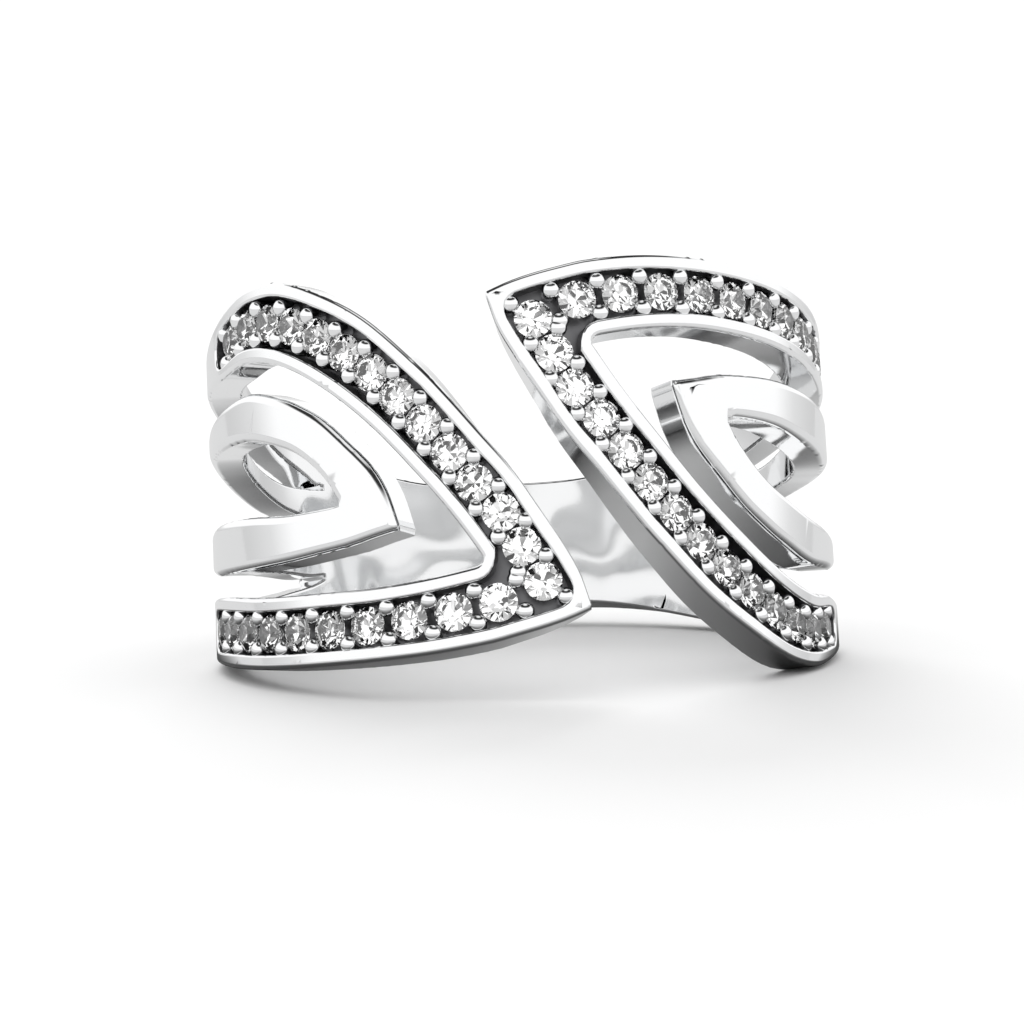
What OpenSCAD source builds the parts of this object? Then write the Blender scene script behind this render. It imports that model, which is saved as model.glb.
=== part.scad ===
// Bypass chevron ring. A plain shank splits on each side into four bands. The two
// outer bands of a side meet in a pointed chevron that carries a channel of round
// stones held by beads, and the two inner bands meet in a plain chevron inside it.
// The right side is the left side turned half round about the line to the front.
// Everything is drawn about the finger hole's axis, front at minus Y, and is then
// tipped back onto the narrow shank, the way the ring rests on a table.

/* [Ring] */
// diameter of the finger hole, from front to back
bore_d = 17.3; // [15:0.1:20]
// thickness of the metal from the finger hole to the outside, at the front
wall = 1.85; // [1.4:0.05:2.6]
// how far the finger hole is let out to each side, where the metal is thinner
side_room = 0.65; // [0:0.05:0.7]
// width of the ring at its broadest place
front_w = 13.3; // [10:0.1:16]
// width of the shank at the back
back_w = 4.5; // [3:0.1:6]

/* [Bands] */
// width of a band that carries stones
pave_w = 2.42; // [2:0.01:3]
// width of a plain band
plain_w = 1.58; // [1.1:0.01:2.2]
// width of the raised rim on each side of the stones
rim_w = 0.4; // [0.25:0.01:0.6]
// depth of the channel below the rims
channel_depth = 0.8; // [0.5:0.05:1.1]

/* [Stones] */
// room between a stone and the rims
side_gap = 0.23; // [0.15:0.01:0.35]
// distance from stone to stone on the long arm, edge to edge
long_gap = 0.12; // [0.1:0.01:0.4]
// distance from stone to stone on the short arm, edge to edge
short_gap = 0.34; // [0.1:0.01:0.6]
// depth of a stone's table below the rims
table_drop = 0.02; // [0:0.01:0.15]
// diameter of a bead
bead_d = 0.38; // [0.25:0.01:0.5]
// distance of a bead's middle from the middle of the channel
bead_out = 0.53; // [0.4:0.01:0.7]

/* [Hidden] */
bore_r = bore_d / 2;
rim_r = bore_r + wall;
half_w = front_w / 2;
half_b = back_w / 2;
stone_d = pave_w - 2 * rim_w - 2 * side_gap;
floor_r = rim_r - channel_depth;
stone_depth = channel_depth - table_drop - 0.08;
deg = rim_r * PI / 180;
inside_r = bore_r - 0.6;
outside_r = rim_r + 0.25;

// Long band with stones: angle from the front, outer edge as a share of half_w,
// depth down to its inner edge as a share of pave_w, rim as a share of rim_w
long_pave = [
  [-140, 0.463, 1.03, 1],
  [-130, 0.534, 0.62, 1],
  [-120, 0.606, 0.53, 1],
  [-110, 0.669, 0.455, 1],
  [-100, 0.730, 0.434, 0.7],
  [-90, 0.790, 0.517, 0.7],
  [-80, 0.857, 0.68, 0.7],
  [-70, 0.930, 0.88, 0.85],
  [-60, 0.993, 1.01, 1],
  [-50, 0.977, 1.15, 1],
  [-40, 0.872, 1.28, 1],
  [-30, 0.704, 1.44, 1],
  [-20, 0.439, 1.56, 1],
  [-15, 0.278, 1.61, 1],
  [-10, 0.102, 1.69, 1],
  [-5, -0.075, 1.75, 1],
  [0, -0.293, 1.85, 1],
  [3.5, -0.451, 2, 1],
  [6.3, -0.602, 2.2, 1],
  [7.8, -0.742, 2.2, 1]
];
// Short band with stones, below: the same columns
short_pave = [
  [-140, -0.465, 1.00, 1],
  [-130, -0.528, 0.80, 1],
  [-120, -0.585, 0.76, 1],
  [-110, -0.635, 0.74, 1],
  [-100, -0.692, 0.80, 0.8],
  [-90, -0.745, 0.87, 0.85],
  [-80, -0.798, 0.93, 0.9],
  [-70, -0.850, 0.97, 1],
  [-60, -0.893, 0.97, 1],
  [-50, -0.922, 0.97, 1],
  [-40, -0.940, 0.97, 1],
  [-30, -0.947, 0.97, 1],
  [-20, -0.940, 1.00, 1],
  [-10, -0.910, 1.04, 1],
  [-5, -0.880, 1.06, 1],
  [0, -0.846, 1.08, 1],
  [4, -0.812, 1.1, 1],
  [7.8, -0.770, 1.1, 1]
];
// Long plain band: angle, outer edge as a share of half_w, depth as a share of plain_w
long_plain = [
  [-140, 0.300, 1.10],
  [-130, 0.276, 0.72],
  [-120, 0.274, 0.56],
  [-110, 0.310, 0.46],
  [-100, 0.362, 0.46],
  [-90, 0.407, 0.55],
  [-80, 0.443, 0.72],
  [-70, 0.467, 0.87],
  [-60, 0.475, 1.02],
  [-50, 0.398, 1.05],
  [-45, 0.336, 1.10],
  [-40, 0.252, 1.28],
  [-35, 0.128, 1.60],
  [-30, -0.015, 1.9],
  [-27.6, -0.128, 2],
  [-26.3, -0.226, 2],
  [-25.4, -0.310, 2]
];
// Short plain band: the same columns
short_plain = [
  [-140, -0.145, 0.90],
  [-130, -0.198, 0.86],
  [-120, -0.207, 0.73],
  [-110, -0.227, 0.65],
  [-100, -0.268, 0.76],
  [-90, -0.310, 0.93],
  [-80, -0.348, 1.08],
  [-70, -0.377, 1.11],
  [-60, -0.397, 1.08],
  [-50, -0.406, 0.98],
  [-40, -0.395, 0.91],
  [-35, -0.383, 0.91],
  [-30, -0.358, 0.91],
  [-25.4, -0.336, 0.91]
];
// Shank: angle, share of the way from the back's width to the four bands' width
shank = [[-180, 0], [-170, 0.012], [-160, 0.12], [-150, 0.47], [-140, 1]];

// Angles where the openings end and where the channel ends
pave_tip = 7.8;
plain_tip = -25.5;
window_tip = -10.4;
inner_tip = -37.4;
upper_end = -133;
inner_end = -136.5;
lower_end = -132.5;
long_channel_end = -76;
short_channel_end = -85;
channel_tip = 5.6;
channel_fork = -8.2;
stone_tip = -0.9;
long_stone_end = -73.5;
short_stone_end = -82;
rest_back = -126.2;
rest_front = 60;
long_pitch = stone_d + long_gap;
short_pitch = stone_d + short_gap;

// Smooth value of column c of a table at angle a
function row(t, a, i = 0) = i >= len(t) - 2 || a <= t[i + 1][0] ? i : row(t, a, i + 1);
function lean_at(t, c, i) =
  let (p = max(i - 1, 0))
  let (q = min(i + 1, len(t) - 1))
  (t[q][c] - t[p][c]) / (t[q][0] - t[p][0]);
function blend(p, m, q, n, u) =
  (2 * u * u * u - 3 * u * u + 1) * p + (u * u * u - 2 * u * u + u) * m
  + (3 * u * u - 2 * u * u * u) * q + (u * u * u - u * u) * n;
function val(t, c, a) =
  let (i = row(t, a))
  let (g = t[i + 1][0] - t[i][0])
  blend(t[i][c], g * lean_at(t, c, i), t[i + 1][c], g * lean_at(t, c, i + 1), (a - t[i][0]) / g);
function back(edge, a) = half_b + (edge - half_b) * val(shank, 1, a);

// Heights of the band edges at angle a
function long_out(a) =
  a < -140 ? back(half_w * long_pave[0][1], a) : half_w * val(long_pave, 1, a);
function short_out(a) =
  a < -140 ? -back(-half_w * short_pave[0][1], a) : half_w * val(short_pave, 1, a);
function long_in(a) = long_out(a) - pave_w * val(long_pave, 2, a);
function short_in(a) = short_out(a) + pave_w * val(short_pave, 2, a);
function plain_top(a) = half_w * val(long_plain, 1, a);
function plain_top_in(a) = plain_top(a) - plain_w * val(long_plain, 2, a);
function plain_low(a) = half_w * val(short_plain, 1, a);
function plain_low_in(a) = plain_low(a) + plain_w * val(short_plain, 2, a);
// Length of a slanted edge per unit across
function slant(h0, h1, da) = sqrt(1 + pow((h1 - h0) / (da * deg), 2));
function long_slant(a) = slant(long_out(a - 1), long_out(a), 1);
function short_slant(a) = slant(short_out(a - 1), short_out(a), 1);
function long_in_slant(a) = slant(long_in(a - 1), long_in(a), 1);
// Channel walls
function long_ch_out(a) = long_out(a) - rim_w * val(long_pave, 3, a) * long_slant(a);
function long_ch_in(a) = long_in(a) + rim_w * val(long_pave, 3, a) * long_in_slant(a);
function short_ch_out(a) = short_out(a) + rim_w * val(short_pave, 3, a) * short_slant(a);
function short_ch_in(a) = short_in(a) - rim_w * val(short_pave, 3, a);
// Lines on which the stones sit
function long_mid(a) =
  a < -12 ? (long_ch_out(a) + long_ch_in(a)) / 2 : long_out(a) - long_slant(a) * pave_w / 2;
function short_mid(a) =
  a < -12 ? (short_ch_out(a) + short_ch_in(a)) / 2 : short_out(a) + short_slant(a) * pave_w / 2;

function steps(a0, a1, n) = [for (i = [0:n]) a0 + (a1 - a0) * i / n];
function at(r, a, h) = [r * sin(a), -r * cos(a), h];

// A radial block between two edges, given as matching lists of [angle, height]. The
// right edge is the lower one where both run towards the front.
module strip(right, left, r0 = inside_r) {
  n = len(right);
  points = [
    for (i = [0:n - 1])
    each [
      at(r0, right[i][0], right[i][1]),
      at(outside_r, right[i][0], right[i][1]),
      at(outside_r, left[i][0], left[i][1]),
      at(r0, left[i][0], left[i][1])
    ]
  ];
  sides = [
    for (i = [0:n - 2])
    for (j = [0:3])
    let (k = (j + 1) % 4)
    each [[4 * i + j, 4 * i + k, 4 * i + 4 + k], [4 * i + j, 4 * i + 4 + k, 4 * i + 4 + j]]
  ];
  polyhedron(points, concat(sides, [[3, 2, 1, 0], [for (j = [0:3]) 4 * n - 4 + j]]), convexity = 4);
}

// Distance along a line of stones, from the chevron's point back to angle a1
function run(side, a1) = [
  for (
    a = stone_tip, s = 0;
    a > a1;
    s = s + norm([deg / 2, mid(side, a - 0.5) - mid(side, a)]), a = a - 0.5
  )
  [s, a]
];
function mid(side, a) = side > 0 ? long_mid(a) : short_mid(a);
function spots(side, pitch, end) =
  let (way = run(side, end))
  let (n = floor(way[len(way) - 1][0] / pitch))
  [for (i = [0:n]) let (a = lookup(i * pitch, way)) [a, mid(side, a)]];
// Direction across the channel at angle a, in the flat pattern
function across(side, a) =
  let (v = [2 * deg, mid(side, a + 1) - mid(side, a - 1)]) [-v[1], v[0]] / norm(v);
function bead_spots(side, pitch, end) =
  let (way = run(side, end))
  let (n = floor(way[len(way) - 1][0] / pitch))
  [
    for (i = [1:n])
    let (a = lookup((i - 0.5) * pitch, way))
    let (t = across(side, a))
    for (k = [-1, 1])
    [a + k * bead_out * t[0] / deg, mid(side, a) + k * bead_out * t[1]]
  ];

// A blunt nose between two heights at angle a
function nose_point(a, h0, h1, u) = [a + 0.5 * sin(180 * u), h0 + (h1 - h0) * u];
function back_part() = steps(-180, -150, 5);
// All space outside the two sides: over the left one, down the slanting gap between
// them and under the right one, then over the right one or under the left one. Edges
// that turn straight down are drawn a hair's breadth aslant.
function aslant(a) = a + 0.02 * (1 - abs(a) / 180);
module past_long_edges() {
  up = concat(back_part(), steps(-145, -10, 27), [-pave_tip]);
  gap = steps(-pave_tip, pave_tip, 8);
  down = [for (i = [len(up) - 1:-1:0]) -up[i]];
  strip(
    concat(
      [for (a = up) [a, long_out(a)]],
      [for (a = gap) [a < 0 ? aslant(a) : a, long_out(a)]],
      [for (a = down) [aslant(a), -front_w]]
    ),
    concat(
      [for (a = up) [a, front_w]],
      [for (a = gap) [a < 0 ? aslant(a) : a, -long_out(-a)]],
      [for (a = down) [aslant(a), -long_out(-a)]]
    )
  );
}
module past_short_edge() {
  part = concat(back_part(), steps(-145, -10, 22), steps(-5, 5, 4), [pave_tip, pave_tip + 0.2]);
  strip([for (a = part) [a, -front_w]], [for (a = part) [a, short_out(min(a, pave_tip))]]);
}

// The opening round the plain chevron: its upper leg, its nose and its lower leg
module outer_window() {
  up = concat(steps(upper_end, -38, 20), steps(-36, plain_tip, 5));
  nose = [-22, -18, -14, -11.5, window_tip];
  low = [for (i = [len(up) - 1:-1:0]) i > 0 ? up[i] : lower_end];
  n = len(nose);
  shares = [for (i = [1:2 * n]) i / (2 * n + 1)];
  left = concat(
    [for (a = up) [a, max(long_in(a), plain_top(a) + 0.12)]],
    [for (a = nose) [a, long_in(a)]],
    [for (i = [n - 1:-1:0]) [nose[i], short_in(nose[i])]],
    [for (a = low) [a, min(short_in(a), plain_low(a) - 0.12)]]
  );
  strip(
    concat(
      [for (a = up) [a, plain_top(a)]],
      [for (u = shares) nose_point(plain_tip, plain_top(plain_tip), plain_low(plain_tip), u)],
      [for (a = low) [a, plain_low(a)]]
    ),
    left
  );
}

// The opening inside the plain chevron
module inner_window() {
  part = concat(steps(inner_end, -49, 20), steps(-46, inner_tip, 4));
  strip(
    [for (a = part) [a, plain_low_in(a)]],
    [for (a = part) [a, max(plain_top_in(a), plain_low_in(a) + 0.14)]]
  );
}

module channel() {
  up = steps(long_channel_end, channel_fork, 16);
  low = steps(channel_fork, short_channel_end, 14);
  nose = [-5, -2, 1, 3.5, channel_tip];
  n = len(nose);
  top_fork = long_ch_in(channel_fork);
  low_fork = short_ch_in(channel_fork);
  strip(
    concat(
      [for (a = up) [a, long_ch_in(a)]],
      [for (i = [1:2 * n]) nose_point(channel_fork, top_fork, low_fork, i / (2 * n + 1))],
      [for (a = low) [a, short_ch_in(a)]]
    ),
    concat(
      [for (a = up) [a, long_ch_out(a)]],
      [for (a = nose) [a, max(long_ch_out(a), short_ch_out(a) + 0.15)]],
      [for (i = [n - 1:-1:0]) [nose[i], short_ch_out(nose[i])]],
      [for (a = low) [a, short_ch_out(a)]]
    ),
    floor_r
  );
}

module bead(a, h) {
  translate([0, 0, h]) rotate([0, 0, a - 90]) translate([floor_r - 0.1, 0, 0]) rotate([0, 90, 0])
    rotate_extrude($fn = 24)
      union() {
        square([bead_d / 2, rim_r - floor_r + 0.1 - bead_d / 2]);
        translate([0, rim_r - floor_r + 0.1 - bead_d / 2])
          intersection() {
            circle(d = bead_d, $fn = 24);
            square(bead_d);
          }
      }
}

module beads() {
  for (p = bead_spots(1, long_pitch, long_stone_end)) bead(p[0], p[1]);
  for (p = bead_spots(-1, short_pitch, short_stone_end)) bead(p[0], p[1]);
}

module outline() {
  difference() {
    cylinder(h = 2 * front_w - 1, r = rim_r, center = true, $fn = 240);
    for (k = [-1, 1]) translate([k * side_room, 0, 0]) cylinder(h = 3 * front_w, r = bore_r, center = true, $fn = 240);
    past_long_edges();
  }
}

module metal() {
  difference() {
    outline();
    past_short_edge();
    rotate([0, 180, 0]) past_short_edge();
    outer_window();
    rotate([0, 180, 0]) outer_window();
    inner_window();
    rotate([0, 180, 0]) inner_window();
    channel();
    rotate([0, 180, 0]) channel();
  }
}

// A round stone with its table at zero height, eight crown sides and a pointed back
module stone() {
  g = stone_d / 2;
  t = 0.55 * g;
  points = concat(
    [for (i = [0:7]) [t * cos(45 * i), t * sin(45 * i), 0]],
    [for (i = [0:15]) [g * cos(22.5 * i), g * sin(22.5 * i), -0.28 * g]],
    [[0, 0, -stone_depth]]
  );
  faces = concat(
    [[for (i = [0:7]) i]],
    [for (i = [0:7]) [i, 8 + (2 * i + 15) % 16, 8 + 2 * i]],
    [for (i = [0:7]) [i, 8 + 2 * i, 8 + (2 * i + 1) % 16]],
    [for (i = [0:7]) [i, 8 + (2 * i + 1) % 16, (i + 1) % 8]],
    [for (i = [0:15]) [8 + (i + 1) % 16, 8 + i, 24]]
  );
  polyhedron(points, [for (f = faces) [for (i = [len(f) - 1:-1:0]) f[i]]]);
}

module stones() {
  short = spots(-1, short_pitch, short_stone_end);
  for (p = concat(spots(1, long_pitch, long_stone_end), [for (i = [1:len(short) - 1]) short[i]]))
    rotate([0, 0, p[0]])
    translate([0, -rim_r + table_drop, p[1]])
    rotate([90, 0, 0])
    stone();
}

// Lying down, the ring touches the table with its left side towards the back and with
// two near points of its right side's inner edge
back_point = at(rim_r, rest_back, short_out(rest_back));
function bore_at(a) = side_room * abs(sin(a)) + sqrt(pow(bore_r, 2) - pow(side_room * cos(a), 2));
function front_point(a) = at(bore_at(a), a, -long_out(-a));
// The table's upward direction as seen from the ring, and the turns that level it
up_dir = cross(front_point(rest_front) - back_point, front_point(rest_front + 5) - back_point);
tip_x = atan2(up_dir[1], up_dir[2]);
tip_y = atan2(-up_dir[0], norm([up_dir[1], up_dir[2]]));
function tipped(p) =
  let (y = p[1] * cos(tip_x) - p[2] * sin(tip_x), z = p[1] * sin(tip_x) + p[2] * cos(tip_x))
  [p[0] * cos(tip_y) + z * sin(tip_y), y, z * cos(tip_y) - p[0] * sin(tip_y)];
edge_points = [
  for (a = steps(-180, pave_tip, 94))
  for (h = [long_out(a), short_out(a)])
  for (k = [-1, 1])
  tipped(at(rim_r, k * a, -k * h))
];
function middle(i) = (min([for (p = edge_points) p[i]]) + max([for (p = edge_points) p[i]])) / 2;
module placed() {
  translate([-middle(0), -middle(1), -tipped(back_point)[2]])
  rotate([tip_x, tip_y, 0])
  children();
}

module ring_body() {
  color([0.86, 0.87, 0.89])
  placed() {
    metal();
    beads();
    rotate([0, 180, 0]) beads();
  }
}
module left_stones() {
  color([0.93, 0.95, 0.97])
  placed()
  stones();
}
module right_stones() {
  color([0.93, 0.95, 0.97])
  placed()
  rotate([0, 180, 0])
  stones();
}

ring_body();
left_stones();
right_stones();
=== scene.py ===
import math

import bmesh
import bpy
from mathutils import Matrix, Vector, kdtree


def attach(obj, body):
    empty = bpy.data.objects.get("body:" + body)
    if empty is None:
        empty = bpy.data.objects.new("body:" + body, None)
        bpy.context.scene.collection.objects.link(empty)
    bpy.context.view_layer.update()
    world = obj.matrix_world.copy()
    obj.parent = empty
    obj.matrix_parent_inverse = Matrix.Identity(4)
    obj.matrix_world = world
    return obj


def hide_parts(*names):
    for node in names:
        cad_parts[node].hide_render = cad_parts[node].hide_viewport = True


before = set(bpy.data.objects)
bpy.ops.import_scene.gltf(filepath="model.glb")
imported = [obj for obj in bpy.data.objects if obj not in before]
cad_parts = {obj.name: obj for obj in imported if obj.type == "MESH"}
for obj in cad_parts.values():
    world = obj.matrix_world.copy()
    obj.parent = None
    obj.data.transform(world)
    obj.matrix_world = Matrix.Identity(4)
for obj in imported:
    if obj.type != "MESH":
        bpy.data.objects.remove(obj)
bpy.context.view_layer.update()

# ---------------------------------------------------------------- ring metal
# The ring is one piece of cast silver under a bright white plating, polished all
# over. Here it is made as a flat pierced strip, with the channels sunk, the edges
# rounded and the strip then rolled round the finger hole. Millimetres until rolled.
bore_r, side_room, wall, front_w, back_w = 8.65, 0.65, 1.85, 13.3, 4.5
rim_r, half_w, half_b = bore_r + wall, front_w / 2, back_w / 2
pave_w, plain_w, rim_w, channel_depth = 2.42, 1.58, 0.47, 0.8
deg = rim_r * math.pi / 180
pave_point, plain_point, gap_point, inner_point, channel_point = 7.8, -25.5, -10.4, -37.4, 5.6
gap_end_up, gap_end_low, inner_end, channel_inner_point = -133, -132.5, -136.5, -8.2
long_channel_end, short_channel_end = -75, -85

# Angle from the front, outer edge as a share of the half width, depth as a share of
# the band's width, rim as a share of the rim's width
long_pave = [
    (-140, 0.463, 1.03, 1), (-130, 0.534, 0.62, 1), (-120, 0.606, 0.53, 1), (-110, 0.669, 0.455, 1),
    (-100, 0.730, 0.434, 0.7), (-90, 0.790, 0.517, 0.7), (-80, 0.857, 0.68, 0.7), (-70, 0.930, 0.88, 0.85),
    (-60, 0.993, 1.01, 1), (-50, 0.977, 1.15, 1), (-40, 0.872, 1.28, 1), (-30, 0.704, 1.44, 1),
    (-20, 0.439, 1.56, 1), (-15, 0.278, 1.61, 1), (-10, 0.102, 1.69, 1), (-5, -0.075, 1.75, 1),
    (0, -0.293, 1.85, 1), (3.5, -0.451, 2, 1), (6.3, -0.602, 2.2, 1), (7.8, -0.742, 2.2, 1),
]
short_pave = [
    (-140, -0.465, 1.00, 1), (-130, -0.528, 0.80, 1), (-120, -0.585, 0.76, 1), (-110, -0.635, 0.74, 1),
    (-100, -0.692, 0.80, 0.8), (-90, -0.745, 0.87, 0.85), (-80, -0.798, 0.93, 0.9), (-70, -0.850, 0.97, 1),
    (-60, -0.893, 0.97, 1), (-50, -0.922, 0.97, 1), (-40, -0.940, 0.97, 1), (-30, -0.947, 0.97, 1),
    (-20, -0.940, 1.00, 1), (-10, -0.910, 1.04, 1), (-5, -0.880, 1.06, 1), (0, -0.846, 1.08, 1),
    (4, -0.812, 1.1, 1), (7.8, -0.770, 1.1, 1),
]
# The same columns without the rim, for the plain bands
long_plain = [
    (-140, 0.300, 1.10), (-130, 0.276, 0.72), (-120, 0.274, 0.56), (-110, 0.310, 0.46), (-100, 0.362, 0.46),
    (-90, 0.407, 0.55), (-80, 0.443, 0.72), (-70, 0.467, 0.87), (-60, 0.475, 1.02), (-50, 0.398, 1.05),
    (-45, 0.336, 1.10), (-40, 0.252, 1.28), (-35, 0.128, 1.60), (-30, -0.015, 1.9), (-27.6, -0.128, 2),
    (-26.3, -0.226, 2), (-25.4, -0.310, 2),
]
short_plain = [
    (-140, -0.145, 0.90), (-130, -0.198, 0.86), (-120, -0.207, 0.73), (-110, -0.227, 0.65),
    (-100, -0.268, 0.76), (-90, -0.310, 0.93), (-80, -0.348, 1.08), (-70, -0.377, 1.11), (-60, -0.397, 1.08),
    (-50, -0.406, 0.98), (-40, -0.395, 0.91), (-35, -0.383, 0.91), (-30, -0.358, 0.91), (-25.4, -0.336, 0.91),
]
# Angle, share of the way from the back's width to the width of the four bands
shank = [(-180, 0), (-170, 0.012), (-160, 0.12), (-150, 0.47), (-140, 1)]


def along(table, column, angle):
    """Smooth value of a table's column at an angle."""
    i = max(0, min(len(table) - 2, sum(row[0] < angle for row in table) - 1))

    def lean(k):
        p, q = max(k - 1, 0), min(k + 1, len(table) - 1)
        return (table[q][column] - table[p][column]) / (table[q][0] - table[p][0])

    g = table[i + 1][0] - table[i][0]
    u = (angle - table[i][0]) / g
    return ((2 * u**3 - 3 * u**2 + 1) * table[i][column] + (u**3 - 2 * u**2 + u) * g * lean(i)
            + (3 * u**2 - 2 * u**3) * table[i + 1][column] + (u**3 - u**2) * g * lean(i + 1))


def shank_edge(edge, a):
    """Height of the shank's edge where it widens from the back's width to an edge's own."""
    return half_b + (edge - half_b) * along(shank, 1, a)


def long_out(a):
    return shank_edge(half_w * long_pave[0][1], a) if a < -140 else half_w * along(long_pave, 1, a)


def short_out(a):
    return -shank_edge(-half_w * short_pave[0][1], a) if a < -140 else half_w * along(short_pave, 1, a)


def long_in(a):
    return long_out(a) - pave_w * along(long_pave, 2, a)


def short_in(a):
    return short_out(a) + pave_w * along(short_pave, 2, a)


def plain_top(a):
    return half_w * along(long_plain, 1, a)


def plain_top_in(a):
    return plain_top(a) - plain_w * along(long_plain, 2, a)


def plain_low(a):
    return half_w * along(short_plain, 1, a)


def plain_low_in(a):
    return plain_low(a) + plain_w * along(short_plain, 2, a)


# Least width of a gap between two bands, and of the space inside a plain chevron
least_gap, least_space = 0.12, 0.14


def gap_low(a):
    """Lower edge of the gap round the plain chevron, kept off the chevron itself."""
    return min(short_in(a), plain_low(a) - least_gap) if a < plain_point else short_in(a)


def gap_high(a):
    return max(long_in(a), plain_top(a) + least_gap) if a < plain_point else long_in(a)


def space_high(a):
    """Upper edge of the space inside the plain chevron, kept over the lower one."""
    return max(plain_top_in(a), plain_low_in(a) + least_space)


def slant(edge, a):
    """How much longer an edge is than the arc under it, for widths square to the band."""
    return math.hypot(1, (edge(a) - edge(a - 1)) / deg)


def long_channel_out(a):
    return long_out(a) - rim_w * along(long_pave, 3, a) * slant(long_out, a)


def long_channel_in(a):
    return long_in(a) + rim_w * along(long_pave, 3, a) * slant(long_in, a)


def short_channel_out(a):
    return short_out(a) + rim_w * along(short_pave, 3, a) * slant(short_out, a)


def short_channel_in(a):
    return short_in(a) - rim_w * along(short_pave, 3, a)


def trace(edge, a0, a1, pitch=0.3):
    """Points [along the strip, up] on an edge from one angle to the other, evenly apart."""
    parts = 300
    turns = [a0 + (a1 - a0) * i / parts for i in range(parts + 1)]
    fine = [(deg * a, edge(a)) for a in turns]
    far = [0.0]
    for p, q in zip(fine, fine[1:]):
        far.append(far[-1] + math.dist(p, q))
    n = max(2, math.ceil(far[-1] / pitch))
    out, k = [], 0
    for i in range(n + 1):
        while k < parts - 1 and far[k + 1] < far[-1] * i / n:
            k += 1
        u = (far[-1] * i / n - far[k]) / (far[k + 1] - far[k])
        (x0, y0), (x1, y1) = fine[k], fine[k + 1]
        out.append((x0 + u * (x1 - x0), y0 + u * (y1 - y0)))
    return out


# Edges of one side, each with the radius of its rounding
pave_round, plain_round, channel_round, inside_round = 0.16, 0.3, 0.08, 0.12
side_low = trace(short_out, -180, pave_point)
side_up = trace(long_out, pave_point, -180)
window = [
    (trace(plain_top, gap_end_up, plain_point), plain_round),
    (trace(plain_low, plain_point, gap_end_low), plain_round),
    (trace(gap_low, gap_end_low, gap_point), pave_round),
    (trace(gap_high, gap_point, gap_end_up), pave_round),
]
inner_window = [
    (trace(plain_low_in, inner_end, inner_point), plain_round),
    (trace(space_high, inner_point, inner_end), plain_round),
]


def square_end(a, edge0, edge1):
    """The end of a channel, straight across the band."""
    return [(deg * a, edge0(a) + (edge1(a) - edge0(a)) * u / 6) for u in range(7)]


channel = [
    (trace(long_channel_out, long_channel_end, channel_point), channel_round),
    (trace(short_channel_out, channel_point, short_channel_end), channel_round),
    (square_end(short_channel_end, short_channel_out, short_channel_in), channel_round),
    (trace(short_channel_in, short_channel_end, channel_inner_point), channel_round),
    (trace(long_channel_in, channel_inner_point, long_channel_end), channel_round),
    (square_end(long_channel_end, long_channel_in, long_channel_out), channel_round),
]


def soften(paths, i, j, reach):
    """Rounds the corner where one edge ends and the next begins, for some way along both."""
    (a, r), (b, q) = paths[i], paths[j]
    corner = a[-1]
    while len(a) > 3 and math.dist(a[-1], corner) < reach:
        a = a[:-1]
    while len(b) > 3 and math.dist(b[0], corner) < reach:
        b = b[1:]
    p0, p2 = a[-1], b[0]
    bend = [tuple((1 - u) ** 2 * p0[k] + 2 * u * (1 - u) * corner[k] + u * u * p2[k] for k in (0, 1))
            for u in (0.2, 0.4, 0.6, 0.8)]
    paths[i], paths[j] = (a + bend[:2], r), (bend[1:] + b, q)


# The channel's corners and the gap's nose: which edge, the next one, how far back
for here, after, reach in ((0, 1, 0.35), (1, 2, 0.4), (2, 3, 0.4), (3, 4, 0.42), (4, 5, 0.4), (5, 0, 0.4)):
    soften(channel, here, after, reach)
soften(window, 2, 3, 0.2)


def other_side(points):
    """The same points on the right side, a half turn away about the line to the front."""
    return [(-360 * deg - s, -h) for s, h in points]


def join(paths, apart=0.02):
    """One closed loop from edges that follow each other, without points that coincide."""
    loop = []
    for path in paths:
        for p in path:
            if not loop or math.dist(p, loop[-1]) > apart:
                loop.append(p)
    return loop[:-1] if math.dist(loop[0], loop[-1]) < apart else loop


outline = join([side_low, side_up, other_side(side_low), other_side(side_up)])
holes = [join([p for p, _ in paths]) for paths in (window, inner_window)]
holes += [join([other_side(p) for p, _ in paths]) for paths in (window, inner_window)]
channels = [join([p for p, _ in channel]), join([other_side(p) for p, _ in channel])]

strip = bmesh.new()


def draw(loop):
    """Draws a closed line on the flat strip, on the inside face of the metal."""
    corners = [strip.verts.new((s, wall, h)) for s, h in loop]
    return [strip.edges.new((a, b)) for a, b in zip(corners, corners[1:] + corners[:1])]


channel_edges = [draw(loop) for loop in channels]
other_edges = [e for loop in [outline, *holes] for e in draw(loop)]
bmesh.ops.triangle_fill(strip, use_beauty=True, edges=other_edges + [e for es in channel_edges for e in es])
for es in channel_edges:
    made = bmesh.ops.triangle_fill(strip, use_beauty=True, edges=es)
    for f in made["geom"]:
        if isinstance(f, bmesh.types.BMFace):
            f.material_index = 1
# Cut across every few degrees, so that it bends evenly when it is rolled
roll_step, cut_reach, merge_reach = 3, 0.05, 0.06
for k in range(-366, 8, roll_step):
    bmesh.ops.bisect_plane(strip, geom=strip.verts[:] + strip.edges[:] + strip.faces[:], dist=cut_reach,
                           plane_co=(k * deg, 0, 0), plane_no=(1, 0, 0))
bmesh.ops.remove_doubles(strip, verts=strip.verts, dist=merge_reach)
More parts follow.
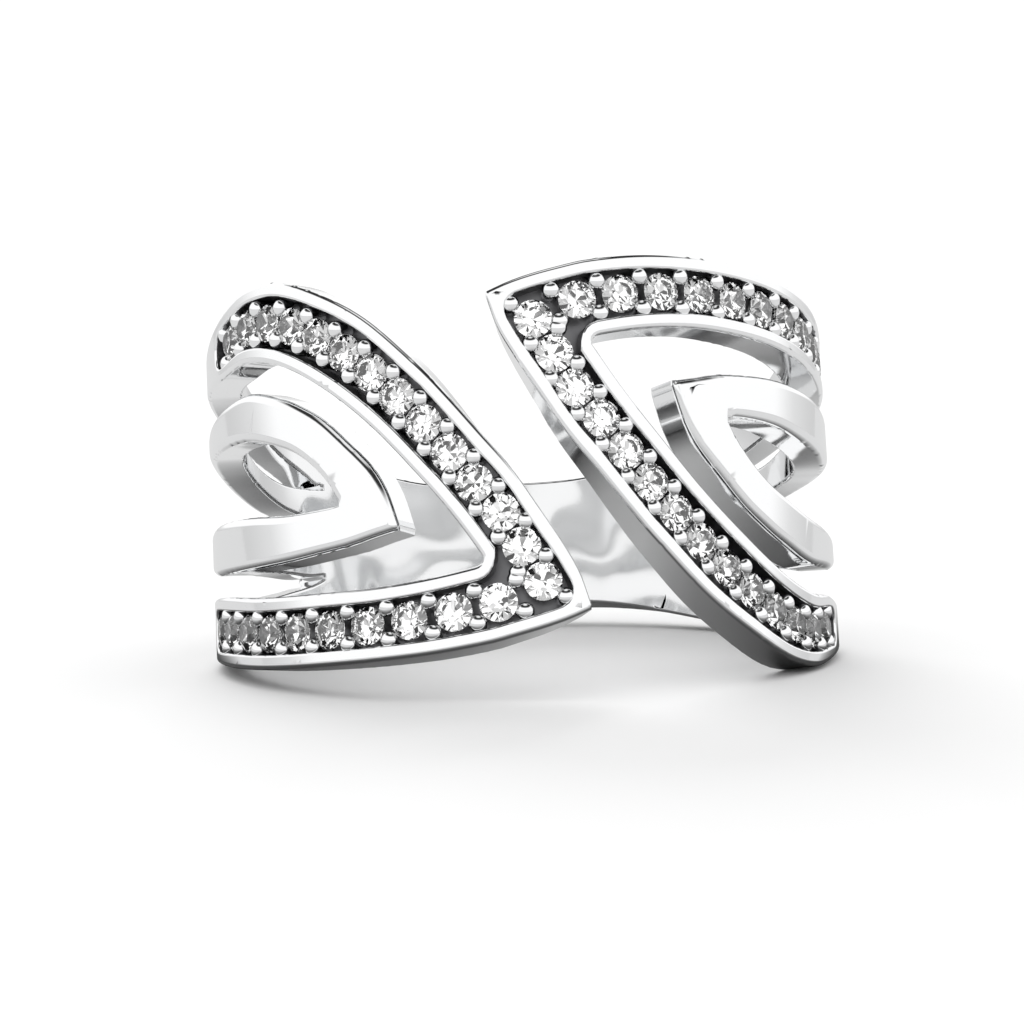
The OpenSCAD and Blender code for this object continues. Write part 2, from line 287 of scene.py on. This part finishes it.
# The strip gets its thickness: the drawn face is the inside, the new one the outside
inside = strip.faces[:]
made = bmesh.ops.extrude_face_region(strip, geom=inside)["geom"]
outside = [f for f in made if isinstance(f, bmesh.types.BMFace)]
bmesh.ops.translate(strip, verts=[v for v in made if isinstance(v, bmesh.types.BMVert)], vec=(0, -wall, 0))
inside = [f for f in inside if f.is_valid]
for f in inside:
    f.material_index = 2
floor_faces = [f for f in outside if f.material_index == 1]
top_faces = [f for f in outside if f.material_index == 0]
before = set(strip.faces)
made = bmesh.ops.extrude_face_region(strip, geom=floor_faces)["geom"]
sunk = [v for v in made if isinstance(v, bmesh.types.BMVert)]
bmesh.ops.translate(strip, verts=sunk, vec=(0, channel_depth, 0))
bmesh.ops.delete(strip, geom=[f for f in floor_faces if f.is_valid], context="FACES")
# The channel's walls take the same dark material as its floor, which carries painted shade.
for f in strip.faces:
    if f not in before:
        f.material_index = 1


def is_plain(f):
    """Whether a face of the strip lies on a plain chevron."""
    c = f.calc_center_median()
    a, h = c.x / deg, c.z
    if a < -180:
        a, h = -360 - a, -h
    return plain_from < a < plain_to and plain_low(a) < h < plain_top(a)


def ring_faces(faces, widths):
    """Rows of narrow faces along all the edges of a region, which carry its rounding."""
    for width in widths:
        bmesh.ops.inset_region(strip, faces=faces, thickness=width, use_boundary=True, use_even_offset=False)


plain_from, plain_to = -118, -25
ring_faces(top_faces, (0.015, 0.03, 0.04, 0.05, 0.04))
plain_faces = [f for f in top_faces if is_plain(f)]
ring_faces(plain_faces, (0.05, 0.075, 0.09))
ring_faces(inside, (0.02, 0.04, 0.06, 0.05))

# Round tight corners the new rings of faces cross over themselves; they are eased apart
bmesh.ops.recalc_face_normals(strip, faces=strip.faces)
for level in (0, wall):
    flat = [f for f in strip.faces if all(abs(v.co.y - level) < 1e-6 for v in f.verts)]
    outwards = 1 if sum(f.normal.y for f in flat) > 0 else -1
    for k in range(6):
        for f in flat:
            f.normal_update()
        loose = {v for f in flat if f.normal.y * outwards < 0.5 for v in f.verts}
        loose = [v for v in loose if all(abs(e.other_vert(v).co.y - level) < 1e-6 for e in v.link_edges)]
        bmesh.ops.smooth_vert(strip, verts=loose, factor=0.5, use_axis_x=True, use_axis_z=True)


def finder(points):
    """Finds the nearest of many points on the flat strip."""
    tree = kdtree.KDTree(len(points))
    for i, (s, h) in enumerate(points):
        tree.insert((s, 0, h), i)
    tree.balance()
    return tree


def dense(path, parts=12):
    """The same edge with many points in between, so that the nearest one is close."""
    out = []
    for p, q in zip(path, path[1:]):
        out += [(p[0] + (q[0] - p[0]) * k / parts, p[1] + (q[1] - p[1]) * k / parts) for k in range(parts)]
    return out + [path[-1]]


edges_of = {}
for path, r in [(side_low, pave_round), (side_up, pave_round), *window, *inner_window, *channel]:
    edges_of.setdefault(r, []).extend(dense(path) + dense(other_side(path)))
finders = {r: finder(points) for r, points in edges_of.items()}
every_edge = finder([p for r, points in edges_of.items() if r != channel_round for p in points])


def drop(far, r):
    """How far a rounding of radius r falls at a distance from the edge."""
    return 0 if far >= r else r - math.sqrt(r * r - (r - far) ** 2)


bmesh.ops.recalc_face_normals(strip, faces=strip.faces)
facing = {f: f.normal.copy() for f in strip.faces}
leaning = {}


def round_over(v, tree, r, outwards):
    """Lowers a point near an edge onto the rounding and keeps the way the polish faces there."""
    near, _, far = tree.find((v.co.x, 0, v.co.z))
    if far >= r:
        return 0, Vector((0, outwards, 0))
    u = (r - far) / r
    away = Vector((near.x - v.co.x, 0, near.z - v.co.z))
    return drop(far, r), (away.normalized() * u + Vector((0, outwards * math.sqrt(1 - u * u), 0))).normalized()


for v in strip.verts:
    if v.co.y < 1e-6:
        falls = [round_over(v, tree, r, -1) for r, tree in finders.items()]
        fall, leaning[v] = max(falls, key=lambda found: found[0])
        v.co.y += fall
    elif abs(v.co.y - wall) < 1e-6:
        fall, leaning[v] = round_over(v, every_edge, inside_round, 1)
        v.co.y -= fall


def polish_facing(f, v):
    """The way the surface faces at a corner: square on the side walls, rolled on the roundings."""
    upright, alike = 0.2, 0.8
    if v not in leaning and abs(facing[f].y) > upright:
        return Vector((0, -1, 0))
    walls = [facing[g] for g in v.link_faces if abs(facing[g].y) < upright]
    if abs(facing[f].y) < upright:
        walls = [w for w in walls if w.dot(facing[f]) > alike]
    if walls:
        total = Vector((0, 0, 0))
        for w in walls:
            total += w
        return total.normalized() if total.length > upright else facing[f]
    return leaning.get(v, Vector((0, -1, 0)))


corners = [(polish_facing(f, loop.vert), loop.vert.co.copy()) for f in strip.faces for loop in f.loops]


def rolled(x, y):
    """Angle and radius where a point of the strip goes; the finger hole is let out to each side."""
    turn, r = x / rim_r, rim_r - y
    if y > channel_depth + 0.3:
        hole = side_room * abs(math.sin(turn)) + math.sqrt(bore_r**2 - (side_room * math.cos(turn)) ** 2)
        r += hole - bore_r
    return turn, r


for v in strip.verts:
    turn, r = rolled(v.co.x, v.co.y)
    v.co = (r * math.sin(turn), -r * math.cos(turn), v.co.z)
normals = []
for way, place in corners:
    turn = place.x / rim_r
    out = Vector((math.sin(turn), -math.cos(turn), 0))
    if way.y > 0.5:
        out = Vector((out.x * (bore_r / (bore_r + side_room)) ** 2, out.y, 0)).normalized()
    normals.append(way.x * Vector((-out.y, out.x, 0)) - way.y * out + Vector((0, 0, way.z)))
bmesh.ops.recalc_face_normals(strip, faces=strip.faces)
for f in strip.faces:
    f.smooth = True

# How the ring lies: tipped back onto the left of its shank, with the front raised
lying = (Matrix.Translation((0, 0.000424358, 0.00517358)) @ Matrix.Rotation(math.radians(-0.697482), 4, "Y")
         @ Matrix.Rotation(math.radians(-14.2132), 4, "X") @ Matrix.Scale(0.001, 4))


def finish_piece(bm, name, materials, nodes):
    """Lays a finished mesh down as the ring lies and hands it to the frame."""
    mesh = bpy.data.meshes.new(name)
    bm.to_mesh(mesh)
    bm.free()
    mesh.transform(lying)
    for m in materials:
        mesh.materials.append(m)
    piece = bpy.data.objects.new(name, mesh)
    bpy.context.scene.collection.objects.link(piece)
    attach(piece, "root")
    if nodes:
        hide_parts(*nodes)
    return piece


def polish(name, colour, rough, spread, scale, bump, depth=0.00001, detail=5):
    """A metal with uneven polish: its roughness and its surface waver, for wear."""
    m = bpy.data.materials.new(name)
    m.use_nodes = True
    n, links = m.node_tree.nodes, m.node_tree.links
    shader = n["Principled BSDF"]
    shader.inputs["Base Color"].default_value = (*colour, 1)
    shader.inputs["Metallic"].default_value = 1
    place = n.new("ShaderNodeTexCoord")
    noise = n.new("ShaderNodeTexNoise")
    noise.inputs["Scale"].default_value = scale
    noise.inputs["Detail"].default_value = detail
    links.new(place.outputs["Object"], noise.inputs["Vector"])
    ramp = n.new("ShaderNodeMapRange")
    ramp.inputs["To Min"].default_value = rough
    ramp.inputs["To Max"].default_value = rough + spread
    links.new(noise.outputs["Fac"], ramp.inputs["Value"])
    links.new(ramp.outputs["Result"], shader.inputs["Roughness"])
    if bump:
        relief = n.new("ShaderNodeBump")
        relief.inputs["Strength"].default_value = bump
        relief.inputs["Distance"].default_value = depth
        links.new(noise.outputs["Fac"], relief.inputs["Height"])
        links.new(relief.outputs["Normal"], shader.inputs["Normal"])
    return m


# Name, colour, roughness, how far it wavers, grain a metre, relief, its depth, its fineness
bright_metal = polish("bright_metal", (0.93, 0.935, 0.94), 0.03, 0.07, 900, 0.06)
# The channel's floor and walls are dark grey: painted shade in the sunk channel under the stones, not a darker
# metal.
sunk_painted_shade = polish("sunk_painted_shade", (0.17, 0.17, 0.175), 0.25, 0.2, 3000, 0.3)
inner_metal = polish("inner_metal", (0.86, 0.865, 0.87), 0.05, 0.05, 260, 1, 0.0003, 0.6)
ring = finish_piece(strip, "ring_metal", [bright_metal, sunk_painted_shade, inner_metal], ["ring_body"])
straight = lying.to_3x3().normalized()
ring.data.normals_split_custom_set([tuple((straight @ way).normalized()) for way in normals])

# --------------------------------------------------------------------- stones
# Round clear stones, cut with a table, stars, mains and girdle facets, and set level
# with the rims in a row that follows each channel. One stone is cut and then copied.
side_gap, table_drop = 0.13, 0.02
stone_r = (pave_w - 2 * rim_w - 2 * side_gap) / 2
long_pitch, short_pitch = 1.28, 1.5
tip, bend, long_row_end, short_row_end = -0.3, -12, -73.5, -82


def long_row(a):
    """The line on which the long arm's stones sit: mid channel, then along the outer rim."""
    return ((long_channel_out(a) + long_channel_in(a)) / 2 if a < bend
            else long_out(a) - slant(long_out, a) * pave_w / 2)


def short_row(a):
    return ((short_channel_out(a) + short_channel_in(a)) / 2 if a < bend
            else short_out(a) + slant(short_out, a) * pave_w / 2)


def spots(row, pitch, end, shift=0.0):
    """Angles along a row of stones, a pitch apart, from the chevron's point."""
    a, far, found, goal, step = tip, 0.0, [], shift * pitch, 0.05
    while a > end:
        if far >= goal - 1e-9:
            found.append(a)
            goal += pitch
        far += math.hypot(deg * step, row(a - step) - row(a))
        a -= step
    return found


def cut(bm, turn, lean, reach, height):
    """Grinds one facet: a plane leaning outwards that passes a point at a reach and height."""
    out = Vector((math.cos(turn) * math.sin(lean), math.sin(turn) * math.sin(lean), math.cos(lean)))
    at = Vector((math.cos(turn) * reach, math.sin(turn) * reach, height))
    made = bmesh.ops.bisect_plane(bm, geom=bm.verts[:] + bm.edges[:] + bm.faces[:], dist=1e-6,
                                  plane_co=at, plane_no=out, clear_outer=True)
    rim = [e for e in made["geom_cut"] if isinstance(e, bmesh.types.BMEdge)]
    if rim:
        bmesh.ops.holes_fill(bm, edges=rim)


def cut_stone():
    """One stone, ground from a short round rod: table, mains, stars, then girdle facets."""
    bm = bmesh.new()
    r = stone_r
    bmesh.ops.create_cone(bm, cap_ends=True, segments=32, radius1=r, radius2=r, depth=2 * r)
    girdle_up, girdle_low = 0.0, -0.05 * r
    table_up, table_r = 0.30 * r, 0.57 * r
    main, star, upper_girdle, under_main, lower_girdle = (
        math.radians(34.5), math.radians(20), math.radians(41), math.radians(180 - 41), math.radians(180 - 42.2))
    cut(bm, 0, 0, 0, table_up)
    for k in range(8):
        cut(bm, math.radians(45 * k), main, r * 0.985, girdle_up)
        cut(bm, math.radians(45 * k + 22.5), star, table_r * 0.93, table_up)
        cut(bm, math.radians(45 * k), under_main, r * 0.985, girdle_low)
    for k in range(16):
        cut(bm, math.radians(22.5 * k + 11.25), upper_girdle, r * 0.99, girdle_up)
        cut(bm, math.radians(22.5 * k + 11.25), lower_girdle, r * 0.99, girdle_low)
    bmesh.ops.recalc_face_normals(bm, faces=bm.faces)
    mesh = bpy.data.meshes.new("one_stone")
    bmesh.ops.translate(bm, verts=bm.verts, vec=(0, 0, -table_up))
    bm.to_mesh(mesh)
    bm.free()
    return mesh


def clear_stone():
    """Clear and sharply polished, with faint wear in patches."""
    m = bpy.data.materials.new("clear_stone")
    m.use_nodes = True
    n, links = m.node_tree.nodes, m.node_tree.links
    shader = n["Principled BSDF"]
    shader.inputs["Base Color"].default_value = (1, 1, 1, 1)
    place, noise, wear = n.new("ShaderNodeTexCoord"), n.new("ShaderNodeTexNoise"), n.new("ShaderNodeMapRange")
    noise.inputs["Scale"].default_value = 2500
    wear.inputs["From Min"].default_value, wear.inputs["From Max"].default_value = 0.5, 0.8
    wear.inputs["To Max"].default_value = 0.04
    links.new(place.outputs["Object"], noise.inputs["Vector"])
    links.new(noise.outputs["Fac"], wear.inputs["Value"])
    links.new(wear.outputs["Result"], shader.inputs["Roughness"])
    shader.inputs["IOR"].default_value = 2.2
    shader.inputs["Transmission Weight"].default_value = 1
    return m


one_stone = cut_stone()
stone_material = clear_stone()
half_turn = Matrix.Rotation(math.pi, 4, "Y")
places = [(a, long_row(a)) for a in spots(long_row, long_pitch, long_row_end)]
places += [(a, short_row(a)) for a in spots(short_row, short_pitch, short_row_end)[1:]]


def seat(a, h, r):
    """Where a thing that stands on the ring at an angle and height goes, facing out."""
    return (Matrix.Rotation(math.radians(a), 4, "Z") @ Matrix.Translation((0, -r, h))
            @ Matrix.Rotation(math.pi / 2, 4, "X"))


turn_between = 37  # each stone sits turned a little further than the one before
for name, side in (("left_clear_stones", Matrix.Identity(4)), ("right_clear_stones", half_turn)):
    field = bmesh.new()
    for i, (a, h) in enumerate(places):
        before = set(field.verts)
        field.from_mesh(one_stone)
        new = [v for v in field.verts if v not in before]
        spin = Matrix.Rotation(math.radians(turn_between * i), 4, "Z")
        bmesh.ops.transform(field, matrix=side @ seat(a, h, rim_r - table_drop) @ spin, verts=new)
    finish_piece(field, name, [stone_material], [name.replace("_clear", "")])
bpy.data.meshes.remove(one_stone)

# ---------------------------------------------------------------------- beads
# Between two stones the metal is raised in a pair of small round beads, one by each
# rim, and burnished bright. They are part of the casting and hold the stones down.
bead_r, bead_flat, bead_out = 0.3, 0.75, 0.52
corner_bead = (3.6, -4.68)  # the one in the channel's point: angle, height
bead_field = bmesh.new()
for row, pitch, end in ((long_row, long_pitch, long_row_end), (short_row, short_pitch, short_row_end)):
    bead_spots = [corner_bead] if row is short_row else []
    for a in spots(row, pitch, end, 0.5):
        across = Vector((-(row(a + 1) - row(a - 1)), 2 * deg)).normalized()
        bead_spots += [(a + k * bead_out * across.x / deg, row(a) + k * bead_out * across.y) for k in (-1, 1)]
    for spot in bead_spots:
        for side in (Matrix.Identity(4), half_turn):
            made = bmesh.ops.create_uvsphere(bead_field, u_segments=14, v_segments=8, radius=bead_r)["verts"]
            bmesh.ops.scale(bead_field, vec=(1, 1, bead_flat), verts=made)
            for v in made:
                if v.co.z < -0.01:
                    v.co.z -= channel_depth - bead_flat * bead_r
            bmesh.ops.transform(bead_field, matrix=side @ seat(*spot, rim_r - bead_flat * bead_r), verts=made)
for f in bead_field.faces:
    f.smooth = True
beads = finish_piece(bead_field, "beads", [bright_metal], [])

# ---------------------------------------------------------------------- table
# A plain white table, not part of the ring. Reflections alone see painted tones on it in place of the white: mid
# grey under the ring, a dark ring round it and light grey further out, a painted reflection that puts thin dark
# lines into the polished metal.
disc_r = 1.2
bpy.ops.mesh.primitive_circle_add(vertices=96, radius=disc_r, fill_type="NGON")
table = bpy.context.object
table.name = "table"
white = bpy.data.materials.new("table_white_painted_reflection")
white.use_nodes = True
n, links = white.node_tree.nodes, white.node_tree.links
shader = n["Principled BSDF"]
shader.inputs["Base Color"].default_value = (0.93, 0.93, 0.93, 1)
shader.inputs["Roughness"].default_value = 0.9
shader.inputs["Specular IOR Level"].default_value = 0.0
painted_reflection_diffuse, mix, path = n.new("ShaderNodeBsdfDiffuse"), n.new("ShaderNodeMixShader"), n.new("ShaderNodeLightPath")
far, ramp, where = n.new("ShaderNodeVectorMath"), n.new("ShaderNodeValToRGB"), n.new("ShaderNodeTexCoord")
far.operation = "LENGTH"
links.new(where.outputs["Object"], far.inputs[0])
links.new(far.outputs["Value"], ramp.inputs["Fac"])
links.new(ramp.outputs["Color"], painted_reflection_diffuse.inputs["Color"])
# Painted reflection tones: distance from the middle in metres, tone
rings = [(0.0065, 0.5), (0.0085, 0.08), (0.0125, 0.08), (0.018, 0.65)]
while len(ramp.color_ramp.elements) < len(rings):
    ramp.color_ramp.elements.new(0.5)
for e, (place, tone) in zip(ramp.color_ramp.elements, rings):
    e.position, e.color = place, (tone, tone, tone, 1)
# Glossy rays see the painted reflection tones in place of the white table.
links.new(path.outputs["Is Glossy Ray"], mix.inputs["Fac"])
links.new(shader.outputs["BSDF"], mix.inputs[1])
links.new(painted_reflection_diffuse.outputs["BSDF"], mix.inputs[2])
links.new(mix.outputs["Shader"], n["Material Output"].inputs["Surface"])
table.data.materials.append(white)

# ---------------------------------------------------------------------- light
# A soft white room with a dark band high up, which the polish picks up as thin dark
# lines. The camera itself sees plain white behind the table.
world = bpy.data.worlds.new("studio")
bpy.context.scene.world = world
world.use_nodes = True
n, links = world.node_tree.nodes, world.node_tree.links
n.clear()
out = n.new("ShaderNodeOutputWorld")
room, plain = n.new("ShaderNodeBackground"), n.new("ShaderNodeBackground")
mix, path = n.new("ShaderNodeMixShader"), n.new("ShaderNodeLightPath")
where, split = n.new("ShaderNodeTexCoord"), n.new("ShaderNodeSeparateXYZ")
height = n.new("ShaderNodeMapRange")
height.inputs["From Min"].default_value = -1
bands = n.new("ShaderNodeValToRGB")
links.new(where.outputs["Generated"], split.inputs["Vector"])
links.new(split.outputs["Z"], height.inputs["Value"])
links.new(height.outputs["Result"], bands.inputs["Fac"])
links.new(bands.outputs["Color"], room.inputs["Color"])
# Height of the direction in degrees, brightness
tones = [(-90, 0.45), (-7, 0.45), (1, 0.62), (4, 0.72), (7, 0.97), (44, 1.0), (50, 0.35), (54, 0.03),
         (70, 0.03), (75, 0.5), (84, 0.85)]
while len(bands.color_ramp.elements) < len(tones):
    bands.color_ramp.elements.new(0.5)
for e, (tilt, tone) in zip(bands.color_ramp.elements, tones):
    e.position = (math.sin(math.radians(tilt)) + 1) / 2
    e.color = (tone, tone, tone, 1)
room.inputs["Strength"].default_value = 1.1
plain.inputs["Color"].default_value = (1, 1, 1, 1)
level = n.new("ShaderNodeMapRange")
level.inputs["To Min"].default_value, level.inputs["To Max"].default_value = 0.92, 1.1
links.new(path.outputs["Is Camera Ray"], level.inputs["Value"])
links.new(level.outputs["Result"], plain.inputs["Strength"])
links.new(path.outputs["Is Glossy Ray"], mix.inputs["Fac"])
links.new(plain.outputs["Background"], mix.inputs[1])
links.new(room.outputs["Background"], mix.inputs[2])
# What the stones gather: a broken pattern of windows and dark walls
sparks, edge, glint, inner = (n.new("ShaderNodeTexVoronoi"), n.new("ShaderNodeMapRange"),
                              n.new("ShaderNodeBackground"), n.new("ShaderNodeMixShader"))
sparks.inputs["Scale"].default_value = 4.5
links.new(where.outputs["Generated"], sparks.inputs["Vector"])
links.new(sparks.outputs["Distance"], edge.inputs["Value"])
edge.inputs["From Min"].default_value, edge.inputs["From Max"].default_value = 0.6, 0.66
edge.inputs["To Min"].default_value, edge.inputs["To Max"].default_value = 1.9, 0.02
links.new(edge.outputs["Result"], glint.inputs["Strength"])
links.new(path.outputs["Is Transmission Ray"], inner.inputs["Fac"])
links.new(mix.outputs["Shader"], inner.inputs[1])
links.new(glint.outputs["Background"], inner.inputs[2])
links.new(inner.outputs["Shader"], out.inputs["Surface"])
bpy.context.scene.view_settings.view_transform = "Standard"

# A low soft lamp behind the ring, which lays its shadow towards the camera. The
# polish and the stones don't mirror it.
sun = bpy.data.lights.new("back_lamp", "SUN")
sun.energy, sun.angle = 1.9, math.radians(35)
holder = bpy.data.objects.new("back_lamp", sun)
bpy.context.scene.collection.objects.link(holder)
lamp_from = Vector((-0.12, 1, 0.42))
holder.rotation_euler = (-lamp_from).to_track_quat("-Z", "Y").to_euler()
holder.visible_glossy = False
holder.visible_transmission = False

# --------------------------------------------------------------------- camera
# A long lens from the front. In the ring's own frame, in millimetres, it looks up a
# little; laid down with the ring, it looks down at the table.
down, yaw, roll, far = math.radians(-9.488), math.radians(3.566), math.radians(2.92), 120
dots_a_mm, picture = 29.31, 1024  # at the ring's middle, and the picture's width in dots
ahead = Vector((0, math.cos(down), -math.sin(down)))
over = Vector((0, math.sin(down), math.cos(down)))
side = Vector((1, 0, 0))
right = side * math.cos(roll) - over * math.sin(roll)
up = side * math.sin(roll) + over * math.cos(roll)
pose = Matrix.Identity(4)
for i in range(3):
    pose[i][0], pose[i][1], pose[i][2], pose[i][3] = right[i], up[i], -ahead[i], -far * ahead[i]
pose = lying @ Matrix.Rotation(-yaw, 4, "Z") @ pose
spot, turn, _ = pose.decompose()
lens = bpy.data.cameras.new("camera")
lens.sensor_width, lens.lens = 36, dots_a_mm * far / picture * 36
lens.shift_x, lens.shift_y = -8.5 / picture, -7.7 / picture
lens.clip_start, lens.clip_end = 0.005, 10
camera = bpy.data.objects.new("camera", lens)
bpy.context.scene.collection.objects.link(camera)
camera.location = spot
camera.rotation_euler = turn.to_euler()
bpy.context.scene.camera = camera
